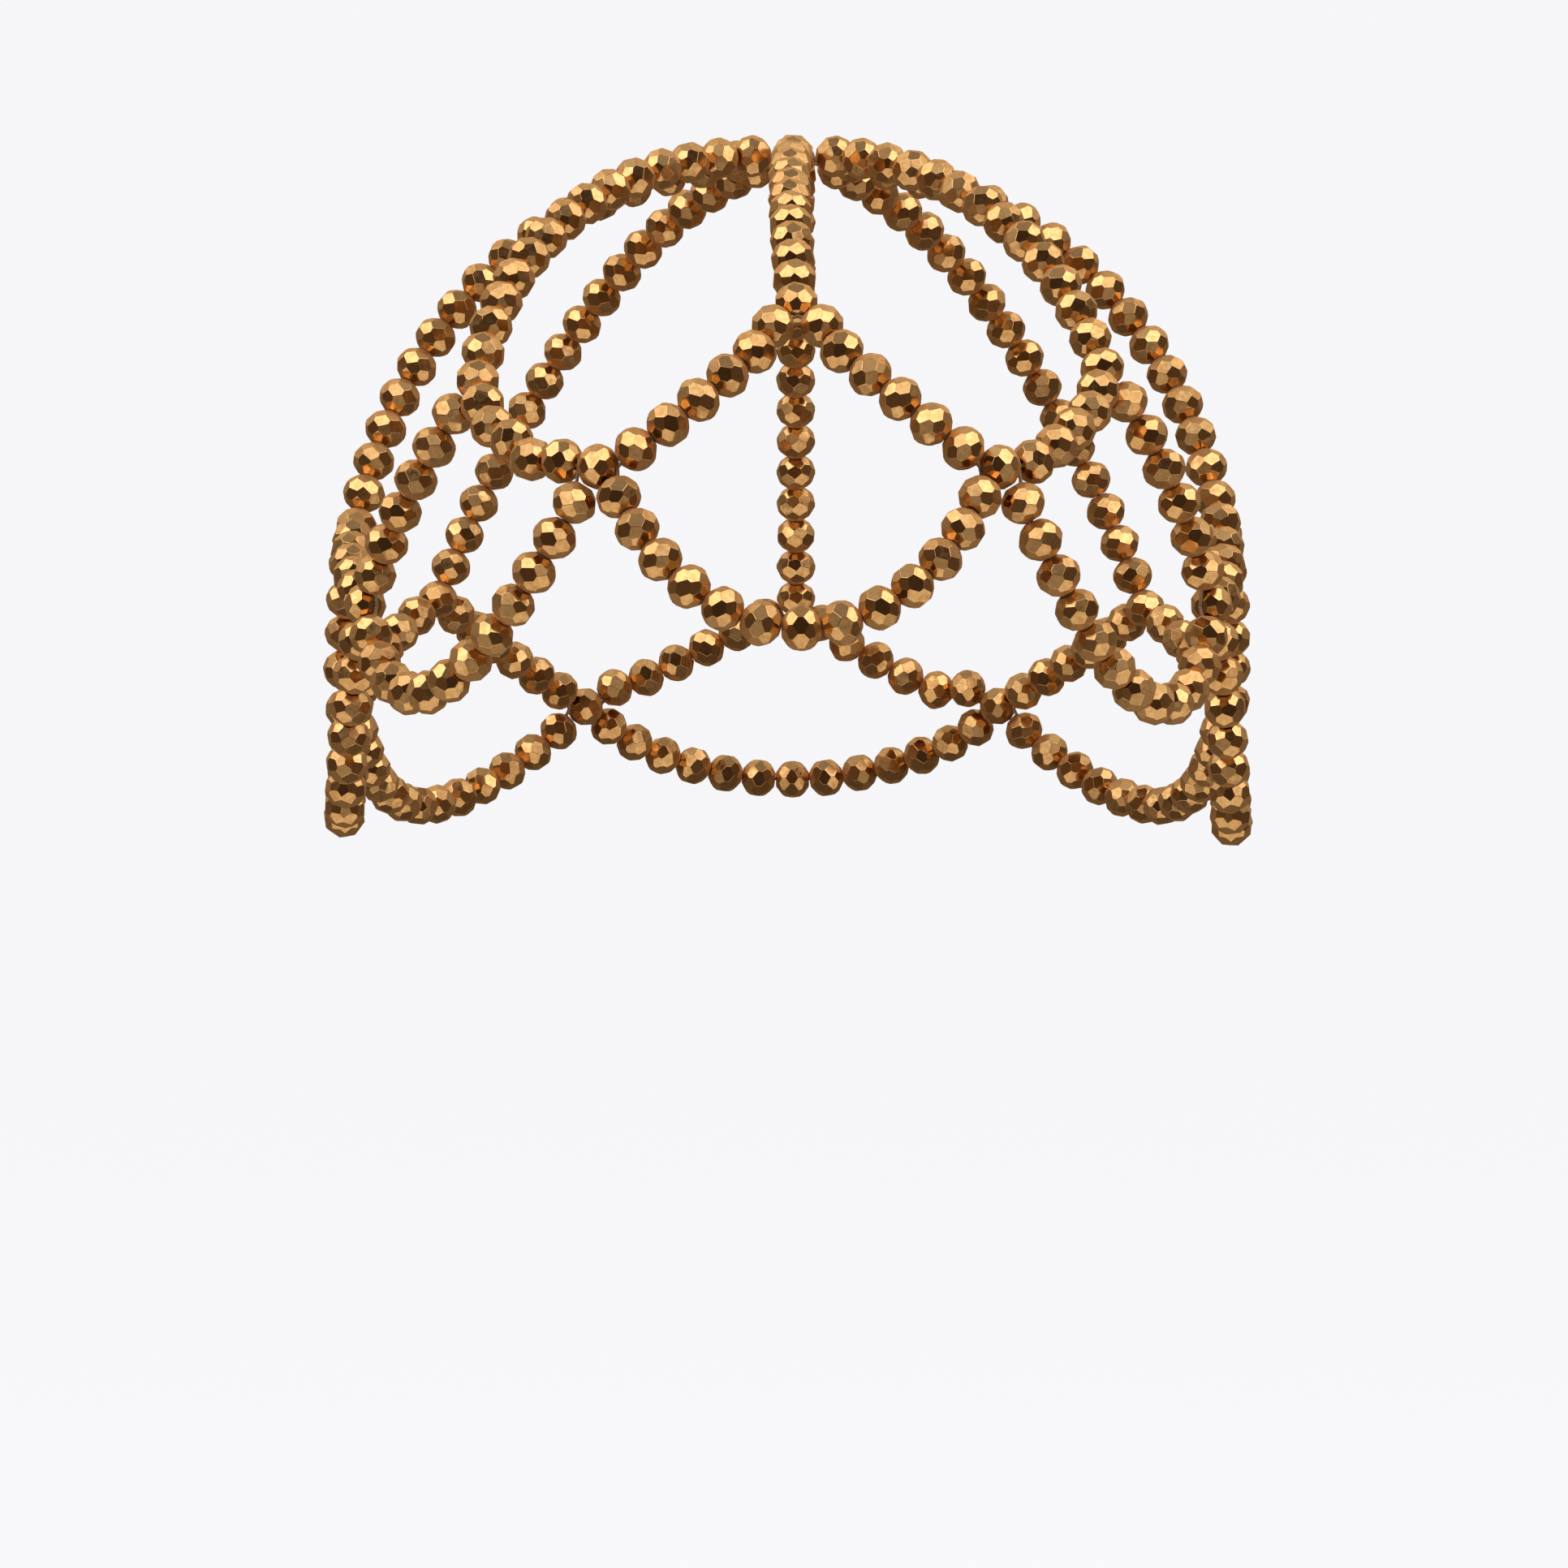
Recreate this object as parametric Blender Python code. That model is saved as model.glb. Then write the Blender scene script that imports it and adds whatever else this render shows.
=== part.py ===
"""A net of gold-coated beads in its worn form: a bead at the crown, eight radial strings, the
branches that part from them, the beads where branches cross, and a swag below each gap.

All lengths are in metres and all angles in degrees. +Z is up and the front faces -Y. The origin is
the top of the hollow, just under the crown bead. An azimuth is measured about the crown, from the
front towards +X, and a polar angle from straight up, both seen from HUB, a point in the hollow.
"""

import bpy
import numpy as np

# Beads
BEAD_DIAMETER = 0.008
BEAD_PITCH = 0.007
SHOULDER_RADIUS = 0.00385
SHOULDER_LENGTH = 0.0032
NECK_RADIUS = 0.0012
THREAD_RADIUS = 0.0009
GAP = 0.0003
BEAD_SIDES = 10
NECK_SIDES = 4

# Spacing where strings meet
CROWN_RING = 0.0112
FORK_PITCH = 0.0074
CLEARANCE = 0.0086

# The form that the bead centres lie on: a dome on upright walls, leaning forward
FORM_HALF_WIDTH = 0.0850
FORM_FRONT = 0.1042
FORM_BACK = 0.0886
DOME_HEIGHT = 0.1105
PLAN_POWER = 2.18
DOME_POWER = 2.54
FORM_LEAN = 15.0
CROWN_SETBACK = 0.0154
CROWN_SHIFT = 0.0012
HUB = np.array([CROWN_SHIFT, CROWN_SETBACK, -0.9 * DOME_HEIGHT])

BEAD_COLOUR = (0.60, 0.38, 0.13, 1.0)
BEAD_ROUGHNESS = 0.18

# name: azimuth at the crown, azimuth at the fork bead, beads with the fork bead
RADIALS = {
    "front": (-1.8, 0.4, 13),
    "front_right": (45.2, 37.6, 14),
    "right": (99.3, 73.5, 16),
    "back_right": (138, 115.5, 18),
    "back": (180, 180, 17),
    "back_left": (-138, -115.5, 18),
    "left": (-99.6, -75.1, 17),
    "front_left": (-55.2, -36.3, 15),
}

# name: azimuth, polar angle
CROSSINGS = {
    "right_1": (19.0, 66.5),
    "right_2": (50.9, 78.6),
    "right_3": (87.1, 93.8),
    "right_4": (148, 100),
    "left_4": (-147, 100),
    "left_3": (-87.5, 93.9),
    "left_2": (-50.7, 78.8),
    "left_1": (-17.5, 66.7),
}

# radial, crossing, beads
BRANCHES = (
    ("front", "left_1", 6),
    ("front", "right_1", 6),
    ("front_left", "left_1", 5),
    ("front_left", "left_2", 6),
    ("front_right", "right_1", 5),
    ("front_right", "right_2", 6),
    ("left", "left_2", 5),
    ("left", "left_3", 6),
    ("right", "right_2", 5),
    ("right", "right_3", 6),
    ("back_left", "left_3", 5),
    ("back_left", "left_4", 6),
    ("back_right", "right_3", 5),
    ("back_right", "right_4", 6),
    ("back", "left_4", 6),
    ("back", "right_4", 6),
)

# name: from crossing, to crossing, beads
SWAGS = {
    "front": ("left_1", "right_1", 13),
    "left_1": ("left_1", "left_2", 12),
    "left_2": ("left_2", "left_3", 12),
    "left_3": ("left_3", "left_4", 13),
    "back": ("left_4", "right_4", 13),
    "right_3": ("right_4", "right_3", 13),
    "right_2": ("right_3", "right_2", 12),
    "right_1": ("right_1", "right_2", 12),
}

# How a string sags between its ends: the power of the curve, and how many points trace it
BRANCH_POWER = 3.1
SWAG_POWER = 2.0
TRACE_POINTS = 49
SETTLE_ROUNDS = 300
SETTLE_FALL = 0.000006


def inside_form(points):
    """Below zero inside the form, above zero outside it."""
    x, y, z = points[:, 0], points[:, 1], points[:, 2] + DOME_HEIGHT
    lean = np.radians(FORM_LEAN)
    y, z = y * np.cos(lean) + z * np.sin(lean), z * np.cos(lean) - y * np.sin(lean)
    half_length = np.where(y < 0, FORM_FRONT, FORM_BACK)
    plan = np.abs(x / FORM_HALF_WIDTH) ** PLAN_POWER + np.abs(y / half_length) ** PLAN_POWER
    height = np.maximum(0.0, z / DOME_HEIGHT)
    return plan ** (DOME_POWER / PLAN_POWER) + height**DOME_POWER - 1


def on_form(directions):
    """The points where rays from HUB in these directions leave the form, found by halving."""
    near, far = np.zeros(len(directions)), np.full(len(directions), 0.26)
    for _ in range(32):
        middle = (near + far) / 2
        within = inside_form(HUB + directions * middle[:, None]) < 0
        near, far = np.where(within, middle, near), np.where(within, far, middle)
    return HUB + directions * near[:, None]


def form_points(azimuth, polar):
    """Points on the form, from angles in degrees."""
    azimuth, polar = np.broadcast_arrays(np.radians(azimuth), np.radians(polar))
    out = np.sin(polar)
    return on_form(
        np.column_stack(
            [out.ravel() * np.sin(azimuth).ravel(), -out.ravel() * np.cos(azimuth).ravel(),
             np.cos(polar).ravel()]
        )
    )


def lengths_along(points):
    steps = np.linalg.norm(np.diff(points, axis=0), axis=1)
    return np.concatenate([[0.0], np.cumsum(steps)])


def spaced(points, places):
    """Points at these distances along a traced line."""
    along = lengths_along(points)
    return np.column_stack([np.interp(places, along, points[:, axis]) for axis in range(3)])


def solve(measure, low, high):
    """The value at which a rising measure passes zero."""
    for _ in range(30):
        middle = (low + high) / 2
        low, high = (middle, high) if measure(middle) < 0 else (low, middle)
    return (low + high) / 2


def radial_beads(name):
    """Bead centres from the crown to the fork, and the fork's polar angle."""
    start, end, count = RADIALS[name]
    length = CROWN_RING + (count - 1) * BEAD_PITCH
    share = np.linspace(0, 1, TRACE_POINTS)

    def line(polar):
        return form_points(start + (end - start) * share**1.5, polar * share)

    polar = solve(lambda p: lengths_along(line(p))[-1] - length, 30.0, 130.0)
    places = CROWN_RING + BEAD_PITCH * np.arange(count)
    return spaced(line(polar), places), polar


def hung_beads(start, end, count, power):
    """Bead centres of a string of this many beads that sags on the form between two beads."""
    length = (count - 1) * BEAD_PITCH + 2 * FORK_PITCH
    share = np.linspace(0, 1, TRACE_POINTS)
    bow = 1 - np.abs(2 * share - 1) ** power
    turn = (end[0] - start[0] + 180) % 360 - 180

    def line(sag):
        return form_points(
            start[0] + turn * share,
            start[1] + (end[1] - start[1]) * share + sag * bow,
        )

    sag = solve(lambda s: lengths_along(line(s))[-1] - length, 0.0, 60.0)
    traced = line(sag)
    whole = lengths_along(traced)[-1]
    places = FORK_PITCH + BEAD_PITCH * np.arange(count)
    return spaced(traced, places * whole / length)


def laid_out():
    """Every bead's centre, rows (string, first bead, last bead, bead before, bead after), and the
    beads that stay put: the crown bead, the forks and the crossings.
    """
    centres, strings = [form_points(0, 0)], []
    total = 1

    def add(name, beads, before, after):
        nonlocal total
        strings.append((name, total, total + len(beads) - 1, before, after))
        centres.append(beads)
        total += len(beads)
        return total - 1

    forks = {}
    for name in RADIALS:
        beads, polar = radial_beads(name)
        last = add(f"radial_{name}", beads, 0, None)
        forks[name] = (last, (RADIALS[name][1], polar))
    crossings = {}
    for name, place in CROSSINGS.items():
        last = add(f"crossing_{name}", form_points(*place), None, None)
        crossings[name] = (last, place)
    for radial, crossing, count in BRANCHES:
        (fork, fork_place), (cross, cross_place) = forks[radial], crossings[crossing]
        beads = hung_beads(fork_place, cross_place, count, BRANCH_POWER)
        add(f"branch_{radial}_to_{crossing}", beads, fork, cross)
    for name, (one, other, count) in SWAGS.items():
        beads = hung_beads(crossings[one][1], crossings[other][1], count, SWAG_POWER)
        add(f"swag_{name}", beads, crossings[one][0], crossings[other][0])
    fixed = [0] + [last for last, _ in forks.values()] + [last for last, _ in crossings.values()]
    return np.vstack(centres), strings, np.array(fixed)


def links_of(strings):
    """Rows (bead, bead, distance) for each two neighbours on a string."""
    links = []
    for name, first, last, before, after in strings:
        links += [(i, i + 1, BEAD_PITCH) for i in range(first, last)]
        if before is not None:
            links.append((before, first, CROWN_RING if before == 0 else FORK_PITCH))
        if after is not None:
            links.append((last, after, FORK_PITCH))
    return links


def settled(centres, strings, fixed):
    """Bead centres moved so that neighbours keep their pitch, others stay apart and none sinks in."""
    links = links_of(strings)
    one, other = np.array([link[:2] for link in links]).T
    rest = np.array([link[2] for link in links])
    held = centres[fixed].copy()
    joined = np.eye(len(centres), dtype=bool)
    joined[one, other] = joined[other, one] = True
    hanging = np.zeros(len(centres), dtype=bool)
    for name, first, last, *_ in strings:
        hanging[first : last + 1] = name.startswith("swag")
    for _ in range(SETTLE_ROUNDS):
        centres[hanging, 2] -= SETTLE_FALL
        apart = centres[other] - centres[one]
        now = np.linalg.norm(apart, axis=1)
        shift = apart * (0.5 * (now - rest) / now)[:, None] * 0.9
        np.add.at(centres, one, shift)
        np.add.at(centres, other, -shift)
        apart = centres[None, :, :] - centres[:, None, :]
        now = np.linalg.norm(apart, axis=2)
        near = (now < CLEARANCE) & ~joined
        push = np.where(near, 0.25 * (now - CLEARANCE) / np.maximum(now, 1e-6), 0.0)
        centres += (apart * push[:, :, None]).sum(axis=1)
        rays = centres - HUB
        reach = np.linalg.norm(rays, axis=1)
        surface = on_form(rays / reach[:, None])
        sunk = (np.linalg.norm(surface - HUB, axis=1) > reach)[:, None]
        centres = np.where(sunk, surface, centres)
        centres[fixed] = held
    return centres


def frame_across(axis, lead):
    """Two unit vectors square to the axis, the first as near to lead as it can be."""
    across = lead - axis * (lead @ axis)
    across /= np.linalg.norm(across)
    return across, np.cross(axis, across)


def string_body(centres, before, after):
    """Rings along a string of beads: a neck where two beads meet, and two shoulders on each bead.

    Each ring is a row (middle, axis, radius, sides, turn). The turn staggers the two shoulders.
    """
    line = np.vstack([before, centres, after])
    rings = []
    half = BEAD_PITCH / 2 - GAP / 2
    for i in range(1, len(line) - 1):
        axis = line[i + 1] - line[i - 1]
        axis /= np.linalg.norm(axis)
        back = (line[i] - line[i - 1]) / np.linalg.norm(line[i] - line[i - 1])
        if i == 1:
            rings.append((line[1] - back * half, back, NECK_RADIUS, NECK_SIDES, 0.0))
        for side, turn in ((-1, 0.25), (1, 0.75)):
            middle = line[i] + axis * (side * SHOULDER_LENGTH / 2)
            rings.append((middle, axis, SHOULDER_RADIUS, BEAD_SIDES, turn))
        ahead = (line[i + 1] - line[i]) / np.linalg.norm(line[i + 1] - line[i])
        if i < len(line) - 2:
            rings.append(((line[i] + line[i + 1]) / 2, ahead, NECK_RADIUS, NECK_SIDES, 0.0))
        else:
            rings.append((line[i] + ahead * half, ahead, NECK_RADIUS, NECK_SIDES, 0.0))
    return rings


def band(lower, upper):
    """Triangles between two rings of points, which may differ in number, walking round both."""
    faces, i, j = [], 0, 0
    n, m = len(lower), len(upper)
    while i < n or j < m:
        if j == m or (i < n and (i + 1) / n <= (j + 1) / m):
            faces.append((lower[i % n], lower[(i + 1) % n], upper[j % m]))
            i += 1
        else:
            faces.append((lower[i % n], upper[(j + 1) % m], upper[j % m]))
            j += 1
    return faces


def skin(rings):
    """Vertices and faces of the closed surface through rings, with flat ends."""
    points, faces, loops = [], [], []
    lead = np.array([0.0, 0.0, 1.0]) if abs(rings[0][1][2]) < 0.9 else np.array([0.0, 1.0, 0.0])
    for middle, axis, radius, sides, turn in rings:
        lead, side = frame_across(axis, lead)
        angles = 2 * np.pi * (np.arange(sides) + turn) / sides
        ring = middle + radius * (np.outer(np.cos(angles), lead) + np.outer(np.sin(angles), side))
        loops.append(list(range(len(points), len(points) + sides)))
        points += list(ring)
    faces.append(loops[0][::-1])
    for lower, upper in zip(loops, loops[1:]):
        faces += band(lower, upper)
    faces.append(loops[-1])
    return points, faces


def bead_material(name):
    material = bpy.data.materials.new(name)
    material.use_nodes = True
    shader = material.node_tree.nodes["Principled BSDF"]
    shader.inputs["Base Color"].default_value = BEAD_COLOUR
    shader.inputs["Metallic"].default_value = 1.0
    shader.inputs["Roughness"].default_value = BEAD_ROUGHNESS
    return material


def add_piece(name, rings, parent):
    points, faces = skin(rings)
    mesh = bpy.data.meshes.new(name)
    mesh.from_pydata([tuple(point) for point in points], [], faces)
    mesh.materials.append(bead_material(name))
    mesh.shade_smooth()
    mesh.set_sharp_from_angle(angle=np.radians(60))
    piece = bpy.data.objects.new(name, mesh)
    piece.parent = parent
    bpy.context.collection.objects.link(piece)


def build():
    for old in list(bpy.data.objects):
        bpy.data.objects.remove(old)
    headpiece = bpy.data.objects.new("headpiece", None)
    bpy.context.collection.objects.link(headpiece)

    centres, strings, fixed = laid_out()
    centres = settled(centres, strings, fixed)
    centres += (0, 0, BEAD_DIAMETER / 2) - centres[0]

    crown = centres[0]
    up = np.array([0.0, 0.0, 1.0])
    add_piece("crown_bead", string_body(crown[None], crown - up, crown + up), headpiece)
    for name, first, last, before, after in strings:
        beads = centres[first : last + 1]
        if name.startswith("crossing"):
            along = np.cross(up, beads[0] - crown)
            along /= np.linalg.norm(along)
            rings = string_body(beads, beads[0] - along, beads[0] + along)
        elif after is None:
            rings = string_body(beads, crown, 2 * beads[-1] - beads[-2])
            inward = (beads[0] - crown) / np.linalg.norm(beads[0] - crown)
            start = crown + inward * (BEAD_DIAMETER / 2 + GAP)
            rings.insert(0, (start, inward, THREAD_RADIUS, NECK_SIDES, 0.0))
        else:
            rings = string_body(beads, centres[before], centres[after])
        add_piece(name, rings, headpiece)


build()
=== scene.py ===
"""A net of gold-coated faceted glass beads, dressed over its frame.

Laid out as an add-on: the sizes and colours are properties, each group of pieces is an operator,
and a panel in the 3D view's sidebar lists them. All lengths are in metres, +Z is up and the front
faces -Y. The origin is under the crown bead.
"""

from functools import lru_cache

import bpy
import numpy as np
from mathutils import Matrix, Vector


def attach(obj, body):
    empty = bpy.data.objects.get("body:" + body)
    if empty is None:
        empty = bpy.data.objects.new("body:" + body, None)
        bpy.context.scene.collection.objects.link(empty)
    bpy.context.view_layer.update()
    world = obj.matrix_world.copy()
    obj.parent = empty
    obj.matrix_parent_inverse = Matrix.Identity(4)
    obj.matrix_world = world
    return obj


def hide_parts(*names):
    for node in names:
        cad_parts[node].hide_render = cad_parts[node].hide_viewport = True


bl_info = {
    "name": "Beaded Headpiece",
    "version": (1, 0, 0),
    "blender": (4, 5, 0),
    "location": "View3D > Sidebar > Headpiece",
    "description": "Builds a net of gold-coated faceted beads",
    "category": "Object",
}

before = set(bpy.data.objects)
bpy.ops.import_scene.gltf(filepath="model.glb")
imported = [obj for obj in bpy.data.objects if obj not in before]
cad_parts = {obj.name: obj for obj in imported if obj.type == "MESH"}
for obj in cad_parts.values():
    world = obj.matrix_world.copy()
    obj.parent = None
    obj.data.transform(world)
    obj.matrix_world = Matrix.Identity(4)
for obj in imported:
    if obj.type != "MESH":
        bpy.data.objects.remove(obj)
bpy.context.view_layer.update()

# Azimuths are in degrees from the front, rising towards +X; polar angles are from straight up.
# name: azimuth at the crown, azimuth at the fork bead, beads with the fork bead
RADIALS = {
    "front": (-1.8, 0.4, 13),
    "front_right": (45.2, 37.6, 14),
    "right": (99.3, 73.5, 16),
    "back_right": (138, 115.5, 18),
    "back": (180, 180, 17),
    "back_left": (-138, -115.5, 18),
    "left": (-99.6, -75.1, 17),
    "front_left": (-55.2, -36.3, 15),
}

# name: azimuth, polar angle
CROSSINGS = {
    "right_1": (19.0, 66.5),
    "right_2": (50.9, 78.6),
    "right_3": (87.1, 93.8),
    "right_4": (148, 100),
    "left_4": (-147, 100),
    "left_3": (-87.5, 93.9),
    "left_2": (-50.7, 78.8),
    "left_1": (-17.5, 66.7),
}

# radial, crossing, beads
BRANCHES = (
    ("front", "left_1", 6),
    ("front", "right_1", 6),
    ("front_left", "left_1", 5),
    ("front_left", "left_2", 6),
    ("front_right", "right_1", 5),
    ("front_right", "right_2", 6),
    ("left", "left_2", 5),
    ("left", "left_3", 6),
    ("right", "right_2", 5),
    ("right", "right_3", 6),
    ("back_left", "left_3", 5),
    ("back_left", "left_4", 6),
    ("back_right", "right_3", 5),
    ("back_right", "right_4", 6),
    ("back", "left_4", 6),
    ("back", "right_4", 6),
)

# name: from crossing, to crossing, beads
SWAGS = {
    "front": ("left_1", "right_1", 13),
    "left_1": ("left_1", "left_2", 12),
    "left_2": ("left_2", "left_3", 12),
    "left_3": ("left_3", "left_4", 13),
    "back": ("left_4", "right_4", 13),
    "right_3": ("right_4", "right_3", 13),
    "right_2": ("right_3", "right_2", 12),
    "right_1": ("right_1", "right_2", 12),
}

HUB_DEPTH = 0.9  # the hub that rays leave from, below the top, as a share of the form's height
REACH = 0.26  # farther from the hub than any of the form
FORM_HALVINGS, SOLVE_HALVINGS = 32, 30
TRACE = np.linspace(0, 1, 49)  # the places at which a string's line is traced
TURN_POWER = 1.5  # how late a radial turns on its way down
POLAR_RANGE, SAG_RANGE = (30.0, 130.0), (0.0, 60.0)  # where a fork's angle and a sag are sought
PULL, PUSH = 0.45, 0.25  # the share of an error that a neighbour, or another bead, mends a round
TINY = 1e-6  # keeps a bead's distance to itself from dividing by zero
CROWN_HEIGHT = 0.004  # the middle of the crown bead above the origin
HOLE_TAPER = 0.8  # a hole's floor as a share of its mouth
WOBBLE_SPREAD = 1.5  # how many standard deviations the wobble is
MOUTH_REACH = 1.05  # where the thread turns into a hole, as a share of the bead's end
THREAD_SIDES = 6
OFF_AXIS = (0.31, 0.52, 0.79)  # a direction that no string follows


def length_property(name, description, default):
    return bpy.props.FloatProperty(
        name=name, description=description, default=default, precision=5, unit="LENGTH"
    )


def angle_property(name, description, degrees):
    return bpy.props.FloatProperty(
        name=name, description=description, default=np.radians(degrees), subtype="ANGLE"
    )


def share_property(name, description, default):
    return bpy.props.FloatProperty(
        name=name, description=description, default=default, min=0.0, max=1.0, subtype="FACTOR"
    )


def number_property(name, description, default):
    return bpy.props.FloatProperty(name=name, description=description, default=default)


def count_property(name, description, default, low):
    return bpy.props.IntProperty(name=name, description=description, default=default, min=low)


def colour_property(name, description, default):
    return bpy.props.FloatVectorProperty(
        name=name, description=description, default=default, size=3, min=0.0, max=1.0,
        subtype="COLOR",
    )


class NetSizes(bpy.types.PropertyGroup):
    """The form that the bead centres lie on, and the spacing along and between strings."""

    half_width: length_property("Half width", "Half the form's width", 0.0850)
    front: length_property("Front", "Half length of the form in front", 0.1042)
    back: length_property("Back", "Half length of the form behind", 0.0886)
    height: length_property("Height", "Height of the dome", 0.1105)
    plan_power: number_property("Plan power", "2 is an ellipse, more is squarer", 2.18)
    dome_power: number_property("Dome power", "2 is an ellipse, more is fuller", 2.54)
    lean: angle_property("Lean", "Forward lean of the form", 15.0)
    crown_setback: length_property("Crown setback", "The crown bead behind the middle", 0.0154)
    crown_shift: length_property("Crown shift", "The crown bead beside the middle", 0.0012)
    pitch: length_property("Bead pitch", "Distance between neighbours on a string", 0.0070)
    crown_ring: length_property("Crown ring", "Crown bead to the first beads", 0.0112)
    fork_pitch: length_property("Fork pitch", "Shared bead to its neighbours", 0.0074)
    clearance: length_property("Clearance", "Least distance of beads not on one string", 0.0086)
    branch_power: number_property("Branch power", "Power of a branch's bow", 3.1)
    swag_power: number_property("Swag power", "Power of a swag's bow", 2.0)
    fall: length_property("Fall", "How far a swag bead falls in each round", 0.000006)
    rounds: count_property("Rounds", "Rounds in which the beads settle", 300, 1)


class BeadSizes(bpy.types.PropertyGroup):
    """One faceted bead: rows of flat facets round its thread hole."""

    girdle: length_property("Girdle", "Middle of the bead to a girdle facet", 0.00370)
    shoulder: length_property("Shoulder", "Middle of the bead to a shoulder facet", 0.00368)
    collar: length_property("Collar", "Middle of the bead to a collar facet", 0.00362)
    end: length_property("End", "Middle of the bead to its flat end", 0.00344)
    shoulder_tilt: angle_property("Shoulder tilt", "Tilt of the shoulder facets", 30.0)
    collar_tilt: angle_property("Collar tilt", "Tilt of the collar facets", 54.0)
    facets: count_property("Facets", "Facets in each row round the bead", 8, 6)
    hole: length_property("Hole", "Radius of the thread hole", 0.00045)
    hole_depth: length_property("Hole depth", "How deep the hole is cut", 0.0008)
    edge: length_property("Edge", "Width of the fire-polished edges", 0.00006)
    edge_limit: angle_property("Edge limit", "Least angle of a polished edge", 12.0)
    cut_tilt: angle_property("Cut tilt", "How far a hand-cut facet tilts off true", 0.9)
    cut_depth: length_property("Cut depth", "How far a hand-cut facet is off its depth", 0.00002)
    skew: angle_property("Skew", "How far a row of facets is turned off even", 7.0)
    wobble: angle_property("Wobble", "How far a bead tips on its thread", 3.0)
    thread: length_property("Thread", "Radius of the thread", 0.00035)
    seed: count_property("Seed", "Seed of the hand-cut differences", 7, 0)


class FinishColours(bpy.types.PropertyGroup):
    """The metallic coating and the thread."""

    gold: colour_property("Gold", "The coating where it is thin", (0.72, 0.42, 0.17))
    bronze: colour_property("Bronze", "The coating where it is thick", (0.56, 0.30, 0.11))
    polish: share_property("Polish", "Roughness of a clean facet", 0.10)
    haze: share_property("Haze", "Added roughness in the mottled patches", 0.10)
    rim_haze: share_property("Rim haze", "Added roughness where a facet is seen edge-on", 0.45)
    mottle: length_property("Mottle", "Size of the mottled patches", 0.0011)
    thread: colour_property("Thread", "Colour of the thread", (0.30, 0.17, 0.07))


class StudioSettings(bpy.types.PropertyGroup):
    """Camera, floor and lights."""

    distance: length_property("Distance", "Camera in front of the form's middle", 1.04594)
    aside: length_property("Aside", "Camera beside the form's middle", -0.0008)
    rise: length_property("Rise", "Camera above the crown bead's middle", 0.01895)
    pitch: angle_property("Pitch", "Tilt of the camera", -7.514)
    yaw: angle_property("Yaw", "Turn of the camera about the form's middle", 0.32)
    lens: number_property("Lens", "Focal length in millimetres", 125.98)
    floor_drop: length_property("Floor drop", "Floor below the crown", 0.62)
    key_power: number_property("Key power", "Watts of a light whose share is one", 3.2)
    sky: colour_property("Sky", "The room above", (0.38, 0.38, 0.39))
    card: colour_property("Front card", "How bright the card in front is", (0.052, 0.036, 0.027))
    wings: colour_property("Side cards", "How bright the cards beside are", (0.105, 0.073, 0.050))
    apron: colour_property("Low card", "How bright the front low card is", (0.42, 0.39, 0.36))
    backing: colour_property("Back cards", "How bright the cards behind are", (0.12, 0.094, 0.074))
    bounce: colour_property("Bounce card", "How bright the card below is", (1.0, 0.95, 0.88))
    floor: colour_property("Floor", "The floor and its curved wall", (0.10, 0.10, 0.102))
    glow: number_property("Floor glow", "Light that the floor sends out by itself", 8.6)
    backdrop: colour_property("Backdrop", "The wall above the floor's curve", (0.92, 0.92, 0.935))


def inside_form(points, net):
    """Below zero inside the form: a squared-off ellipse in plan, raised to a dome by a second power.

    The sum of the plan's powers, raised to dome power over plan power, plus height to the dome
    power, less one, in axes that lean forward.
    """
    x, y, z = points[:, 0], points[:, 1], points[:, 2] + net.height
    cosine, sine = np.cos(net.lean), np.sin(net.lean)
    y, z = y * cosine + z * sine, z * cosine - y * sine
    half_length = np.where(y < 0, net.front, net.back)
    plan = np.abs(x / net.half_width) ** net.plan_power + np.abs(y / half_length) ** net.plan_power
    rise = np.maximum(0.0, z / net.height) ** net.dome_power
    return plan ** (net.dome_power / net.plan_power) + rise - 1


def hub_of(net):
    """The point under the crown bead from which rays go out to the form."""
    return np.array([net.crown_shift, net.crown_setback, -HUB_DEPTH * net.height])


def on_form(directions, net):
    """Where rays from the hub leave the form, found by halving."""
    hub = hub_of(net)
    near, far = np.zeros(len(directions)), np.full(len(directions), REACH)
    for _ in range(FORM_HALVINGS):
        middle = (near + far) / 2
        within = inside_form(hub + directions * middle[:, None], net) < 0
        near, far = np.where(within, middle, near), np.where(within, far, middle)
    return hub + directions * near[:, None]


def form_points(azimuth, polar, net):
    """Points on the form, as a function of azimuth and polar angle in degrees."""
    azimuth, polar = np.broadcast_arrays(np.radians(azimuth), np.radians(polar))
    azimuth, polar = azimuth.ravel(), polar.ravel()
    out = np.sin(polar)
    return on_form(
        np.column_stack([out * np.sin(azimuth), -out * np.cos(azimuth), np.cos(polar)]), net
    )


def lengths_along(points):
    """The distance along a line of points, at each point."""
    steps = np.linalg.norm(np.diff(points, axis=0), axis=1)
    return np.concatenate([[0.0], np.cumsum(steps)])


def spaced(points, places):
    """Points at these distances along a traced line."""
    along = lengths_along(points)
    return np.column_stack([np.interp(places, along, points[:, axis]) for axis in range(3)])


def solve(measure, low, high):
    """The value at which a rising measure passes zero."""
    for _ in range(SOLVE_HALVINGS):
        middle = (low + high) / 2
        low, high = (middle, high) if measure(middle) < 0 else (low, middle)
    return (low + high) / 2


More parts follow.
